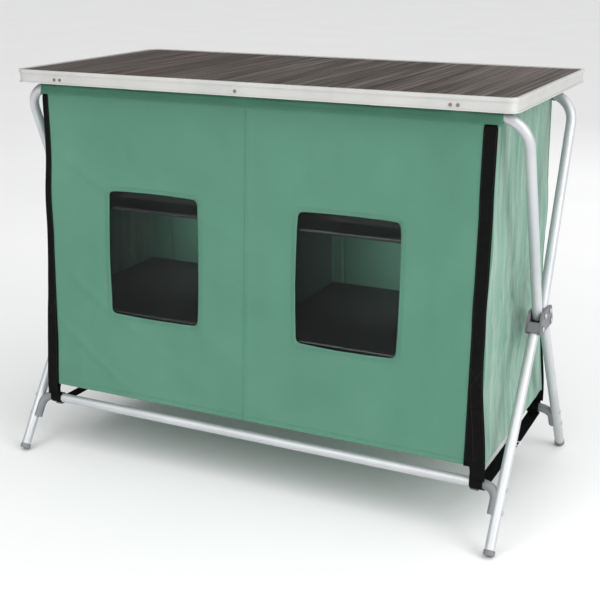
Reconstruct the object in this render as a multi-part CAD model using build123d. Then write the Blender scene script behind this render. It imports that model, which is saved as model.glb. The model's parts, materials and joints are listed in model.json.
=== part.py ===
from build123d import *
import os
from math import atan2, cos, degrees, hypot, radians, sin, tan

# Folding camp kitchen table: a boarded top on two tube bows and two pairs of legs that are pinned
# in a plastic hub at each end, with a fabric cupboard hung between the bows and the stretchers.
# Millimetres. X runs along the table, -Y is the side with the windows, +Y the side with the doors.
# The frame is drawn about its own symmetry plane and moved to the row frame when it is exported.

# ---- driving dimensions -------------------------------------------------------------------
table_length = 1010.0
table_depth = 500.0
table_height = 800.0
edge_height = 25.0
top_shift = 36.0           # the top stands this far behind the frame's symmetry plane
corner_radius = 21.0

tube_radius = 9.5
tube_wall = 1.2
leg_plane_x = 512.0        # the tubes of one end lie in this plane
bow_bend_radius = 55.0

bow_pin_y, bow_pin_z = 18.3, 380.0
leg_pin_y, leg_pin_z = 31.3, 358.0
bar_y, bar_z = 167.5, 763.5
leg_angle = 33.3           # from the vertical
stretcher_z = 107.0
pin_radius = 3.0
running_gap = 0.1

strap_width = 25.0
strap_thickness = 1.4
cloth = 1.2
cupboard_bottom_z = 142.0
seam_z = 749.0
half_width_top = 463.0     # of the cupboard, at the seam
half_width_bottom = 479.0
window_size = (200.0, 249.0)
window_centres_x = (-212.0, 202.0)
window_centre_z = 444.0
door_x = (25.0, 415.0)
door_z = (166.0, 645.0)
upper_shelf_z = 536.0
lower_shelf_z = 321.0

# ---- sizes worked out from them -----------------------------------------------------------
underside_z = table_height - edge_height
bow_angle = degrees(atan2(bar_y - bow_pin_y, bar_z - bow_pin_z))
bow_length = hypot(bar_y - bow_pin_y, bar_z - bow_pin_z)
stretcher_y = leg_pin_y + (leg_pin_z - stretcher_z) * tan(radians(leg_angle))
stretcher_distance = (leg_pin_z - stretcher_z) / cos(radians(leg_angle))
wall_angle = degrees(atan2(stretcher_y - bar_y, bar_z - stretcher_z))
wall_outer = tube_radius + 1.6
wall_inner = wall_outer - cloth


def wall_depth(z):
    """Distance below the bar's axis, measured along the wall, of a point at height z."""
    return (bar_z - z) / cos(radians(wall_angle))


def half_depth(z):
    """Distance from the symmetry plane to the inner face of the front or back wall."""
    return bar_y + (bar_z - z) * tan(radians(wall_angle)) + wall_inner


def half_width(z):
    """Half of the cupboard's length at height z."""
    share = (seam_z - z) / (seam_z - cupboard_bottom_z)
    return half_width_top + (half_width_bottom - half_width_top) * share


# ---- places -------------------------------------------------------------------------------
def bow_place(side):
    """Local Z runs up a bow's leg from its hub pin. Side is -1 in front and +1 behind."""
    return Location((0, side * bow_pin_y, bow_pin_z), (-side * bow_angle, 0, 0))


def leg_place(side):
    """Local -Z runs down a leg from its hub pin."""
    return Location((0, side * leg_pin_y, leg_pin_z), (side * leg_angle, 0, 0))


def wall_place(side):
    """Local -Z runs down a wall from the bow's bar to the stretcher."""
    return Location((0, side * bar_y, bar_z), (side * wall_angle, 0, 0))


def block(x, y, z):
    """A box between two values on each axis, given in either order."""
    size = [abs(b - a) for a, b in (x, y, z)]
    return Pos((x[0] + x[1]) / 2, (y[0] + y[1]) / 2, (z[0] + z[1]) / 2) * Box(*size)


def rod_x(radius, x_low, x_high, y=0.0, z=0.0):
    """A round rod along X."""
    return Pos((x_low + x_high) / 2, y, z) * Rot(0, 90, 0) * Cylinder(radius, x_high - x_low)


def rod_z(radius, z_low, z_high, x=0.0, y=0.0):
    """A round rod along Z."""
    return Pos(x, y, (z_low + z_high) / 2) * Cylinder(radius, z_high - z_low)


def plate_yz(points, x_low, x_high, radius=0.0):
    """A plate of the outline given as (y, z) points, between two values of X."""
    outline = Polygon(*points, align=None)
    if radius:
        outline = fillet(outline.vertices(), radius)
    return extrude(Plane.YZ.offset(x_low) * outline, x_high - x_low, dir=(1, 0, 0))


def plate_xz(outline, y_low, y_high):
    """An outline in X and Z, made solid between two values of Y."""
    return extrude(Plane.XZ.offset(-y_high) * outline, y_high - y_low, dir=(0, -1, 0))


def group(solids):
    """Several separate solids in one node."""
    return Compound([s for shape in solids for s in shape.solids()])


# ---- hubs ---------------------------------------------------------------------------------
ear_gap = 0.4
ear_thickness = 4.5
ear_inner = leg_plane_x - tube_radius - ear_gap
ear_outer = leg_plane_x + tube_radius + ear_gap
pin_end = 6.0              # of tube beyond a bow's pin, inside the hub
leg_pin_end = 7.0


def hub(side):
    """The moulded H-shaped hub that the four tubes of one end are pinned in."""
    ear = [(-50, 348), (-32, 388), (32, 388), (50, 348)]
    body = plate_yz(ear, ear_outer, ear_outer + ear_thickness, 8)
    body += plate_yz(ear, ear_inner - ear_thickness, ear_inner, 8)
    body += block((ear_inner, ear_outer), (-6.7, 6.7), (348, 387))
    body += block((ear_inner, ear_outer), (-16, 16), (348, 362))
    for end in (-1, 1):
        stop = block((ear_inner, ear_outer), (9.9, 15.6), (-12, 12))
        stop = leg_place(1) * stop - rod_x(12.4, 400, 600, leg_pin_y, leg_pin_z)
        stop = stop & block((400, 600), (0, 100), (348.2, 371))
        body += stop if end > 0 else mirror(stop, Plane.XZ)
    for end in (-1, 1):
        for y, z in ((bow_pin_y, bow_pin_z), (leg_pin_y, leg_pin_z)):
            body += rod_x(6.5, ear_outer + ear_thickness, ear_outer + ear_thickness + 1, end * y, z)
            body -= rod_x(pin_radius, 480, 540, end * y, z)
    return body if side > 0 else mirror(body, Plane.YZ)


def hub_pins():
    """The eight headed steel pins of the two hubs."""
    pins = []
    outer = ear_outer + ear_thickness + 1
    inner = ear_inner - ear_thickness
    for end in (-1, 1):
        for y, z in ((bow_pin_y, bow_pin_z), (leg_pin_y, leg_pin_z)):
            pin = rod_x(pin_radius, inner, outer, end * y, z)
            head = fillet(rod_x(5, outer, outer + 2, end * y, z).edges().sort_by(Axis.X)[-1], 1.2)
            washer = rod_x(5.5, inner - 1.2, inner, end * y, z)
            pins.append(pin + head + washer)
    return group(pins + [mirror(pin, Plane.YZ) for pin in pins])


# ---- tubes --------------------------------------------------------------------------------
def bow(side):
    """A bow: one tube, up from the right hub, across under the top, and down to the left hub."""
    path = FilletPolyline(
        (leg_plane_x, 0, -pin_end),
        (leg_plane_x, 0, bow_length),
        (-leg_plane_x, 0, bow_length),
        (-leg_plane_x, 0, -pin_end),
        radius=bow_bend_radius,
    )
    section = (path ^ 0) * (Circle(tube_radius) - Circle(tube_radius - tube_wall))
    tube = sweep(section, path=path)
    tube -= rod_x(pin_radius + running_gap, -540, 540)
    return bow_place(side) * tube


foot_radius = 10.5
foot_round = 1.5
foot_end_z = (foot_radius - foot_round) * sin(radians(leg_angle))
foot_end_z += foot_round * (1 - cos(radians(leg_angle)))
foot_distance = (leg_pin_z - foot_end_z) / cos(radians(leg_angle))
foot_height = 10.0
foot_sole = 3.5
rivet_distances = [(leg_pin_z - z) / cos(radians(leg_angle)) for z in (104.0, 70.0)]
rivet_radius = 2.0
elbow_start = 474.0
elbow_radius = 9.0
elbow_tail_x = 503.0
elbow_bend_radius = 24.5
elbow_tail_end = stretcher_distance + 50


def rivet_shanks():
    """The two rivets of a right-hand elbow, in the leg's own place."""
    tail_face = elbow_tail_x - elbow_radius
    outer = leg_plane_x + tube_radius
    return [rod_x(rivet_radius, tail_face, outer, 0, -d) for d in rivet_distances]


def leg(side, end):
    """A straight leg with its hub pin hole and rivet holes."""
    tube = rod_z(tube_radius, foot_sole - foot_distance, leg_pin_end, leg_plane_x)
    tube -= rod_z(tube_radius - tube_wall, -foot_distance, leg_pin_end + 1, leg_plane_x)
    tube -= rod_x(pin_radius + running_gap, 480, 540)
    for shank in rivet_shanks():
        tube -= shank
    return leg_place(side) * (tube if end > 0 else mirror(tube, Plane.YZ))


def foot(side, end):
    """A plastic cap pushed on and into the bottom of a leg."""
    cap = rod_z(foot_radius, -foot_distance, foot_height - foot_distance, leg_plane_x)
    cap = fillet(cap.edges().filter_by(GeomType.CIRCLE), foot_round)
    cap += rod_z(tube_radius - tube_wall, foot_height - foot_distance, 26 - foot_distance, leg_plane_x)
    tube = rod_z(tube_radius, foot_sole - foot_distance, 40 - foot_distance, leg_plane_x)
    tube -= rod_z(tube_radius - tube_wall, -foot_distance, 40 - foot_distance, leg_plane_x)
    cap -= tube
    return leg_place(side) * (cap if end > 0 else mirror(cap, Plane.YZ))


def stretcher(side):
    """The tube that joins the two legs of one side."""
    tube = rod_x(tube_radius, -elbow_start, elbow_start)
    tube -= rod_x(tube_radius - tube_wall, -elbow_start, elbow_start)
    return leg_place(side) * Pos(0, 0, -stretcher_distance) * tube


def elbow(side, end):
    """A bent plug: its spigot is in the stretcher, its tail is riveted to the leg's inner side."""
    path = FilletPolyline(
        (elbow_start, 0, -stretcher_distance),
        (elbow_tail_x, 0, -stretcher_distance),
        (elbow_tail_x, 0, -elbow_tail_end),
        radius=elbow_bend_radius,
    )
    body = sweep((path ^ 0) * Circle(elbow_radius), path=path)
    body += rod_x(tube_radius - tube_wall, elbow_start - 30, elbow_start, 0, -stretcher_distance)
    body -= rod_z(tube_radius, -foot_distance, 0, leg_plane_x)
    for shank in rivet_shanks():
        body -= shank
    return leg_place(side) * (body if end > 0 else mirror(body, Plane.YZ))


def elbow_rivets(side):
    """The rivets that hold both elbows of one side."""
    outer = leg_plane_x + tube_radius
    rivets = []
    for shank, d in zip(rivet_shanks(), rivet_distances):
        head = rod_x(4, outer, outer + 1.8, 0, -d)
        rivets.append(shank + fillet(head.edges().sort_by(Axis.X)[-1], 1.2))
    return leg_place(side) * group(rivets + [mirror(rivet, Plane.YZ) for rivet in rivets])


# ---- tabletop -----------------------------------------------------------------------------
edge_wall = 3.2            # from the lips' outer faces to the back of the profile's wall
edge_recess = 1.9          # the wall's face is this far behind the lips
lip_width = 6.2
lip_thickness = 1.6
rim_step = 0.3             # the board's rim under the lip is this much below its open face
flange_width = 14.0
board_thickness = 9.0
board_top = table_height - lip_thickness
board_bottom = board_top - board_thickness
brace_centres_x = (-404.0, -12.0, 398.0)
brace_half_width = 15.0
rivet_offsets = ((-6.5, 6.5), (0.0,), (-6.5, 6.5))
edge_rivet_z = 783.5
rest_clip_x = (-250.0, 250.0)
pivot_clip_x = (-330.0, 330.0)


def rounded_slab(inset, z_low, z_high):
    """The tabletop's outline, set in by a distance, between two heights."""
    outline = RectangleRounded(
        table_length - 2 * inset, table_depth - 2 * inset, max(corner_radius - inset, 4)
    )
    return Pos(0, top_shift, z_low) * extrude(outline, z_high - z_low)


def top_panel():
    """The board: its rim is under the lip, and its open face is clear of it."""
    body = rounded_slab(edge_wall + 1.1, board_bottom, board_top - rim_step)
    return body + rounded_slab(lip_width + 0.2, board_top - rim_step, board_top)


def edge_frame():
    """The aluminium profile around the board: a lip above, a flange below, a recessed face."""
    body = rounded_slab(0, underside_z, table_height)
    body -= rounded_slab(edge_wall + 1, underside_z + lip_thickness, board_top - rim_step)
    body -= rounded_slab(lip_width, board_top - 1, table_height + 1)
    body -= rounded_slab(flange_width, underside_z - 1, underside_z + lip_thickness + 1)
    outside = rounded_slab(-1, underside_z + 2.2, table_height - 6.5)
    body -= outside - rounded_slab(edge_recess, 700, 900)
    for rivet in edge_rivet_shanks():
        body -= rivet
    return body


def edge_rivet_shanks():
    """Shanks of the rivets that go through the edge profile into the braces."""
    shanks = []
    for face in (-1, 1):
        y = top_shift + face * (table_depth / 2 - 8)
        for centre, offsets in zip(brace_centres_x, rivet_offsets):
            for offset in offsets:
                shank = Pos(centre + offset, y, edge_rivet_z) * Rot(90, 0, 0) * Cylinder(1.6, 14)
                shanks.append(shank)
    return shanks


def edge_rivets():
    """The rivets themselves, with round heads on the recessed face."""
    rivets = []
    for shank in edge_rivet_shanks():
        centre = shank.bounding_box().center()
        face = 1 if centre.Y > top_shift else -1
        y = top_shift + face * (table_depth / 2 - edge_recess + 0.55)
        head = Pos(centre.X, y, edge_rivet_z) * Rot(90, 0, 0) * Cylinder(3.1, 1.1)
        hollow = Pos(centre.X, y + face * 0.6, edge_rivet_z) * Rot(90, 0, 0) * Cylinder(1.1, 1.2)
        rivets.append(shank + head - hollow)
    return group(rivets)


def top_braces():
    """Three flat tubes under the board, from the front edge profile to the back one."""
    braces = []
    reach = table_depth / 2 - edge_wall - 1
    for centre in brace_centres_x:
        tube = block(
            (centre - brace_half_width, centre + brace_half_width),
            (top_shift - reach, top_shift + reach),
            (underside_z + lip_thickness, board_bottom),
        )
        hollow = block(
            (centre - brace_half_width + 1.2, centre + brace_half_width - 1.2),
            (top_shift - reach - 1, top_shift + reach + 1),
            (underside_z + lip_thickness + 1.2, board_bottom - 1.2),
        )
        braces.append(tube - hollow)
    for index, brace in enumerate(braces):
        for shank in edge_rivet_shanks():
            brace -= shank
        braces[index] = brace
    return group(braces)


clip_half_width = 12.0
clip_radius = 14.0


def rear_pivot_clips():
    """Plastic rings under the board that turn on the back bow's bar."""
    clips = []
    for x in pivot_clip_x:
        ring = rod_x(clip_radius, x - clip_half_width, x + clip_half_width, bar_y, bar_z)
        ring &= block((x - 50, x + 50), (bar_y - 50, bar_y + 50), (bar_z - 50, underside_z + 1))
        foot_plate = block(
            (x - clip_half_width, x + clip_half_width),
            (bar_y - 13, bar_y + 13),
            (underside_z - 4, board_bottom),
        )
        bore = rod_x(tube_radius + running_gap, x - 20, x + 20, bar_y, bar_z)
        clips.append(ring + foot_plate - bore)
    return group(clips)


def front_rest_clips():
    """Shallow plastic saddles under the board that rest on the front bow's bar."""
    clips = []
    for x in rest_clip_x:
        saddle = block(
            (x - clip_half_width, x + clip_half_width),
            (-bar_y - 10.5, -bar_y + 10.5),
            (bar_z + 5.5, board_bottom),
        )
        clips.append(saddle - rod_x(tube_radius + 0.3, x - 20, x + 20, -bar_y, bar_z))
    return group(clips)


# ---- cupboard: front and back walls ---------------------------------------------------------
def sleeve(side):
    """The hem pocket around a bow's bar, open where the tabletop's clips sit on the bar."""
    hem = -wall_depth(seam_z)
    plies = [(-wall_outer, 0), (wall_inner, hem), (wall_outer, hem), (wall_outer, 0)]
    body = plate_yz(plies, -half_width_top, half_width_top)
    body += rod_x(wall_outer, -half_width_top, half_width_top)
    body -= rod_x(tube_radius + 0.3, -half_width_top, half_width_top)
    opening_z = 4 if side < 0 else -18
    for x in (rest_clip_x if side < 0 else pivot_clip_x):
        body -= block((x - 18, x + 18), (-30, 30), (opening_z, 30))
    body &= block((-460, 460), (-60, 60), (-60, 60))
    return wall_place(side) * (body if side > 0 else mirror(body, Plane.XZ))


def wall_outline(x_low_top, x_low_bottom, x_high_top, x_high_bottom):
    """A wall's outline between its seam and its bottom hem, in its own X and Z."""
    top = -wall_depth(seam_z)
    bottom = -wall_depth(cupboard_bottom_z)
    return Polygon(
        (x_low_top, top), (x_high_top, top), (x_high_bottom, bottom), (x_low_bottom, bottom),
        align=None,
    )


def in_wall(side, solid):
    """Puts a solid drawn for the back wall in its place, mirrored for the front wall."""
    return wall_place(side) * (solid if side > 0 else mirror(solid, Plane.XZ))


def window_outline(grow):
    """A window: a rectangle with rounded corners and slightly bowed sides."""
    width, height = window_size[0] + 2 * grow, window_size[1] + 2 * grow
    bow_out = 3.0
    half_w, half_h = width / 2, height / 2
    edges = [
        ThreePointArc((-half_w, -half_h), (0, -half_h - bow_out), (half_w, -half_h)),
        ThreePointArc((half_w, -half_h), (half_w + bow_out, 0), (half_w, half_h)),
        ThreePointArc((half_w, half_h), (0, half_h + bow_out), (-half_w, half_h)),
        ThreePointArc((-half_w, half_h), (-half_w - bow_out, 0), (-half_w, -half_h)),
    ]
    outline = make_face(Curve() + edges)
    return fillet(outline.vertices(), 9)


def front_panel(end):
    """One half of the front wall, with its window opening. End is -1 on the left."""
    if end < 0:
        outline = wall_outline(-half_width_top, -half_width_bottom, 0, 0)
    else:
        outline = wall_outline(0, 0, half_width_top, half_width_bottom)
    centre_x = window_centres_x[0] if end < 0 else window_centres_x[1]
    outline -= Pos(centre_x, -wall_depth(window_centre_z)) * window_outline(0)
    return in_wall(-1, plate_xz(outline, wall_inner, wall_outer))


def window(end):
    """A dark see-through pane, sewn behind the opening."""
    centre_x = window_centres_x[0] if end < 0 else window_centres_x[1]
    outline = Pos(centre_x, -wall_depth(window_centre_z)) * window_outline(6)
    return in_wall(-1, plate_xz(outline, wall_inner - 0.6, wall_inner))


def door_outline(end, inset):
    """A door opening, or the door in it when it is set in."""
    low, high = door_x[0] + inset, door_x[1] - inset
    top, bottom = -wall_depth(door_z[1]) - inset, -wall_depth(door_z[0]) + inset
    centre = (end * (low + high) / 2, (top + bottom) / 2)
    return Pos(*centre) * Rectangle(high - low, top - bottom)


def back_panel():
    """The back wall around its two door openings."""
    outline = wall_outline(-half_width_top, -half_width_bottom, half_width_top, half_width_bottom)
    for end in (-1, 1):
        outline -= door_outline(end, 0)
    return in_wall(1, plate_xz(outline, wall_inner, wall_outer))


def door(end):
    """A fabric door that lifts about its sewn top edge."""
    return in_wall(1, plate_xz(door_outline(end, 1.0), wall_inner, wall_outer))


zip_width = 12.0
zip_z = (door_z[0] + 6, door_z[1] - 4)
zip_thickness = 0.8
slider_height = 14.0


def zip_sides():
    """X of the middle of each zip tape: the outer and inner side of each door."""
    outer, inner = door_x[1] + zip_width / 2, door_x[0] - zip_width / 2
    return (-outer, -inner, inner, outer)


def door_zips():
    """The four zip tapes beside the doors."""
    tapes = []
    for x in zip_sides():
        tapes.append(block(
            (x - zip_width / 2, x + zip_width / 2),
            (wall_outer, wall_outer + zip_thickness),
            (-wall_depth(zip_z[0]), -wall_depth(zip_z[1])),
        ))
    return in_wall(1, group(tapes))


def zip_slider(x):
    """A zip slider with its pull tab, at the bottom of its tape."""
    low = -wall_depth(zip_z[0]) + 4
    face = wall_outer + zip_thickness + 0.3
    body = block((x - 4.5, x + 4.5), (face, face + 3), (low, low + slider_height))
    tab = block((x - 2.5, x + 2.5), (face + 3, face + 4.5), (low - 16, low + 8))
    return in_wall(1, body + tab)


def corner_strap(side, end):
    """The webbing sewn down one corner of a wall, a little past its bottom hem."""
    top, bottom = -wall_depth(seam_z), -wall_depth(cupboard_bottom_z - 14)
    high, low = half_width_top, half_width_bottom
    outline = Polygon(
        (high - strap_width, top), (high, top), (low, bottom), (low - strap_width, bottom),
        align=None,
    )
    strap = plate_xz(outline, wall_outer, wall_outer + strap_thickness)
    return in_wall(side, strap if end > 0 else mirror(strap, Plane.YZ))


# ---- cupboard: what folds up between the walls ----------------------------------------------
def side_outline(gap):
    """The (y, z) outline of a wall that runs from the front wall to the back wall."""
    low, shoulder, high = cupboard_bottom_z + 5, 752.0, 772.0
    low_y, shoulder_y, high_y = half_depth(low) - gap, half_depth(shoulder) - gap, bar_y - 22
    return [
        (-low_y, low), (-shoulder_y, shoulder - 8), (-high_y, shoulder), (-high_y, high),
        (high_y, high), (high_y, shoulder), (shoulder_y, shoulder - 8), (low_y, low),
    ]


def side_wall(end):
    """An end wall of the cupboard. It leans out a little towards its bottom."""
    lean = degrees(atan2(half_width_bottom - half_width_top, seam_z - cupboard_bottom_z))
    wall = Pos(half_width_top, 0, seam_z) * Rot(0, -lean, 0) * Pos(0, 0, -seam_z) * plate_yz(
        side_outline(2.5), -cloth, 0
    )
    return wall if end > 0 else mirror(wall, Plane.YZ)


def divider():
    """The upright fabric wall that makes two cupboards of one."""
    return plate_yz(side_outline(3.0), -1, 1)


def shelf_pair(z):
    """Two stiffened fabric shelves at one height, one on each side of the divider."""
    edge_x, edge_y = half_width(z) - 4, half_depth(z)
    shelf = block((1.6, edge_x), (-edge_y + 14, edge_y - 4), (z - 3, z))
    return group([shelf, mirror(shelf, Plane.YZ)])


def shelf_rods():
    """The light rods in the shelves' front hems."""
    rods = []
    for z in (upper_shelf_z, lower_shelf_z):
        rod = rod_x(4, 3, half_width(z) - 6, -half_depth(z) + 9, z - 2)
        rods += [rod, mirror(rod, Plane.YZ)]
    return group(rods)


def cupboard_floor():
    """The cupboard's fabric-covered floor."""
    low, high = cupboard_bottom_z + 1.5, cupboard_bottom_z + 4.5
    edge_x, edge_y = half_width(low) - 4, half_depth(high) - 4
    return block((-edge_x, edge_x), (-edge_y, edge_y), (low, high))


# ---- webbing on the stretchers --------------------------------------------------------------
loop_inner = tube_radius + 0.2
loop_tail = 135.0
loop_x = (half_width_bottom - strap_width - 1, half_width_bottom - 1)
bottom_strap_x = (456.0, 480.0)
bottom_strap_z = stretcher_z - loop_inner - strap_thickness - 0.8


def at_stretcher(side, solid):
    """Puts a solid drawn about the back stretcher's axis in its place, upright as the wall is."""
    drop = Pos(0, 0, -wall_depth(stretcher_z))
    return wall_place(side) * drop * (solid if side > 0 else mirror(solid, Plane.XZ))


def strap_loops(side):
    """The corner straps' lower ends: a turn around the stretcher and a tail behind the wall."""
    loops = []
    for end in (-1, 1):
        middle = end * (loop_x[0] + loop_x[1]) / 2
        low, high = middle - strap_width / 2, middle + strap_width / 2
        ring = rod_x(loop_inner + strap_thickness, low, high) - rod_x(loop_inner, low, high)
        tail = block((low, high), (8.6, 9.7), (5.6, loop_tail))
        loops.append(ring + tail)
    return at_stretcher(side, group(loops))


def loop_clips(side):
    """The small metal clips that lock the loops, under the stretcher."""
    clips = []
    for end in (-1, 1):
        low = loop_inner + strap_thickness + 0.1
        middle = end * (loop_x[0] + 9)
        clips.append(block((middle - 8, middle + 8), (-4, 5), (-low - 2.2, -low)))
    return at_stretcher(side, group(clips))


def bottom_strap(end):
    """The webbing under the stretchers, from front to back, which stops the legs spreading."""
    reach = stretcher_y - 6
    low, high = bottom_strap_x
    half = strap_thickness / 2
    strap = block((low, high), (-reach, reach), (bottom_strap_z - half, bottom_strap_z + half))
    return strap if end > 0 else mirror(strap, Plane.YZ)


def strap_buckles():
    """The ladder buckles on the bottom straps, each drawn as two bars above and below."""
    low, high = bottom_strap_x
    z = bottom_strap_z
    buckle = block((low - 3, high + 3), (20, 42), (z - 2.6, z + 2.6))
    buckle -= block((low - 0.4, high + 0.4), (19, 43), (z - 0.9, z + 0.9))
    return group([buckle, mirror(buckle, Plane.YZ)])


# ---- the nodes ----------------------------------------------------------------------------
sides = {"front": -1, "back": 1}
ends = {"left": -1, "right": 1}

nodes = {
    "hub_left": hub(-1),
    "hub_right": hub(1),
    "hub_pins": hub_pins(),
    "top_panel": top_panel(),
    "edge_frame": edge_frame(),
    "edge_rivets": edge_rivets(),
    "top_braces": top_braces(),
    "rear_pivot_clips": rear_pivot_clips(),
    "front_rest_clips": front_rest_clips(),
    "back_panel": back_panel(),
    "door_zips": door_zips(),
    "divider": divider(),
    "upper_shelves": shelf_pair(upper_shelf_z),
    "lower_shelves": shelf_pair(lower_shelf_z),
    "shelf_rods": shelf_rods(),
    "cupboard_floor": cupboard_floor(),
    "strap_buckles": strap_buckles(),
}

for side_name, side in sides.items():
    nodes[f"{side_name}_bow"] = bow(side)
    nodes[f"{side_name}_stretcher"] = stretcher(side)
    nodes[f"{side_name}_elbow_rivets"] = elbow_rivets(side)
    nodes[f"{side_name}_sleeve"] = sleeve(side)
    nodes[f"{side_name}_strap_loops"] = strap_loops(side)
    nodes[f"{side_name}_loop_clips"] = loop_clips(side)
    for end_name, end in ends.items():
        nodes[f"{side_name}_leg_{end_name}"] = leg(side, end)
        nodes[f"{side_name}_foot_{end_name}"] = foot(side, end)
        nodes[f"{side_name}_elbow_{end_name}"] = elbow(side, end)
        nodes[f"{side_name}_strap_{end_name}"] = corner_strap(side, end)

for end_name, end in ends.items():
    nodes[f"front_panel_{end_name}"] = front_panel(end)
    nodes[f"window_{end_name}"] = window(end)
    nodes[f"door_{end_name}"] = door(end)
    nodes[f"side_wall_{end_name}"] = side_wall(end)
    nodes[f"bottom_strap_{end_name}"] = bottom_strap(end)

slider_names = ("left_outer", "left_inner", "right_inner", "right_outer")
for slider_name, x in zip(slider_names, zip_sides()):
    nodes[f"zip_slider_{slider_name}"] = zip_slider(x)

# The origin is the middle of the whole object's box, on the floor. The top reaches furthest back
# and the front feet reach furthest forward.
foot_reach = leg_pin_y + (leg_pin_z - foot_end_z) * tan(radians(leg_angle))
front_reach = -min(node.bounding_box().min.Y for node in nodes.values())
back_reach = max(node.bounding_box().max.Y for node in nodes.values())
frame_y = (front_reach - back_reach) / 2

os.makedirs("parts", exist_ok=True)
for name, node in nodes.items():
    export_step(Pos(0, frame_y, 0) * node, f"parts/{name}.step")
print(f"{len(nodes)} nodes, frame symmetry plane at y = {frame_y:.3f}")
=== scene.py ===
import json
from itertools import product
from math import atan2, cos, exp, pi, radians, sin, sqrt

import bmesh
import bpy
from mathutils import Euler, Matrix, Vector, noise


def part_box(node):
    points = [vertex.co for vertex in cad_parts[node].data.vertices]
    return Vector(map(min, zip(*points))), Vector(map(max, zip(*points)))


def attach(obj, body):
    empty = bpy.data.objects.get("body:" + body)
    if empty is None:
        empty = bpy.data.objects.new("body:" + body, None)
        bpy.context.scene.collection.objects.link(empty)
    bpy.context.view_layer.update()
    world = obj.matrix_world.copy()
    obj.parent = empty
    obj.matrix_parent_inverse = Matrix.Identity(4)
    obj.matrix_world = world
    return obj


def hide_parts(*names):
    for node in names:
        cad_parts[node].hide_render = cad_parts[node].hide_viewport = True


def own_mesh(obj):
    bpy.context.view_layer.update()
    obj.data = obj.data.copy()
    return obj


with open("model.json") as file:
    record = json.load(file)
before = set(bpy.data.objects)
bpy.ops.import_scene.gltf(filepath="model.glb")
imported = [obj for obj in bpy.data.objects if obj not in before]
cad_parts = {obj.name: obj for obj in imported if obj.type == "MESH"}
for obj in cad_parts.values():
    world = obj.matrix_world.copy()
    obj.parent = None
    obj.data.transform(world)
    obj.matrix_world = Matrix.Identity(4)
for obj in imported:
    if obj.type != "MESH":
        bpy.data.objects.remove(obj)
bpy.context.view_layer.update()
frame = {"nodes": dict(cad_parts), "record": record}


# ---- places, from the CAD nodes ----
def middle(node, axis):
    low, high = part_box(node)
    return (low[axis] + high[axis]) / 2


TUBE = 0.0095
MID_Y = middle("hub_left", 1)
bow_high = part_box("back_bow")[1]
BAR_Y, BAR_Z = bow_high.y - TUBE - MID_Y, bow_high.z - TUBE
STRETCHER_Y, STRETCHER_Z = middle("back_stretcher", 1) - MID_Y, middle("back_stretcher", 2)
WALL_ANGLE = atan2(STRETCHER_Y - BAR_Y, BAR_Z - STRETCHER_Z)
WALL_IN, WALL_OUT = 0.0099, 0.0111
CLOTH = 0.0010
HEM_LIFT = 0.0045          # the sleeve's hem is this far above the top of the walls
SEAM_Z, BOTTOM_Z = 0.749, 0.142
STRAP = 0.025
WINDOW_SIZE = (0.200, 0.249)
WINDOW_X = {"left": -0.212, "right": 0.202}
WINDOW_Z = 0.444
DOOR_X, DOOR_Z = (0.025, 0.415), (0.166, 0.645)
SHELVES_Z = {"upper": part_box("upper_shelves")[1].z, "lower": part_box("lower_shelves")[1].z}
ROD_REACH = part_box("shelf_rods")[1].x
SIDES = {"front": -1, "back": 1}
ENDS = {"left": -1, "right": 1}


def half_depth(z):
    """From the symmetry plane to the inner face of the front or back wall."""
    return BAR_Y + (BAR_Z - z) * sin(WALL_ANGLE) / cos(WALL_ANGLE) + WALL_IN


def wall_normal(side):
    return Vector((0, side * cos(WALL_ANGLE), sin(WALL_ANGLE)))


def wall_up(side):
    return Vector((0, -side * sin(WALL_ANGLE), cos(WALL_ANGLE)))


def on_wall(side, x, z, out):
    """A point at a height on the line from bar to stretcher, and a distance out from that line."""
    y = BAR_Y + (BAR_Z - z) * sin(WALL_ANGLE) / cos(WALL_ANGLE)
    return Vector((x, MID_Y + side * y, z)) + out * wall_normal(side)


# ---- meshes ----
def wave(x, y, seed):
    """Smooth noise from -1 to 1."""
    return noise.noise(Vector((x, y, 3.7 * seed)))


def ridge(x, y, seed):
    """Noise with sharp crests, as pulled cloth has, from 0 to 1."""
    return 1 - min(1.0, abs(noise.noise(Vector((x, y, 3.7 * seed)))) * 2.6)


def bell(distance, width):
    return exp(-(distance / width) ** 2)


def smooth(share):
    share = max(0.0, min(1.0, share))
    return share * share * (3 - 2 * share)


def spread(low, high, step, *extra):
    """Values from low to high about a step apart, and the extra ones between them."""
    count = max(1, round((high - low) / step))
    values = [low + (high - low) * i / count for i in range(count + 1)]
    for value in extra:
        if low < value < high:
            values = [v for v in values if abs(v - value) > step * 0.3 or v in (low, high)
                      or v in extra]
            values.append(value)
    return sorted(set(values))


def mesh_piece(name, vertices, faces, uv=None, smoothed=True):
    mesh = bpy.data.meshes.new(name)
    mesh.from_pydata([tuple(v) for v in vertices], [], faces)
    if uv is not None:
        layer = mesh.uv_layers.new(name="cut")
        for loop in mesh.loops:
            layer.data[loop.index].uv = uv[loop.vertex_index]
    for polygon in mesh.polygons:
        polygon.use_smooth = smoothed
    mesh.update()
    piece = bpy.data.objects.new(name, mesh)
    bpy.context.collection.objects.link(piece)
    return piece


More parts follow.
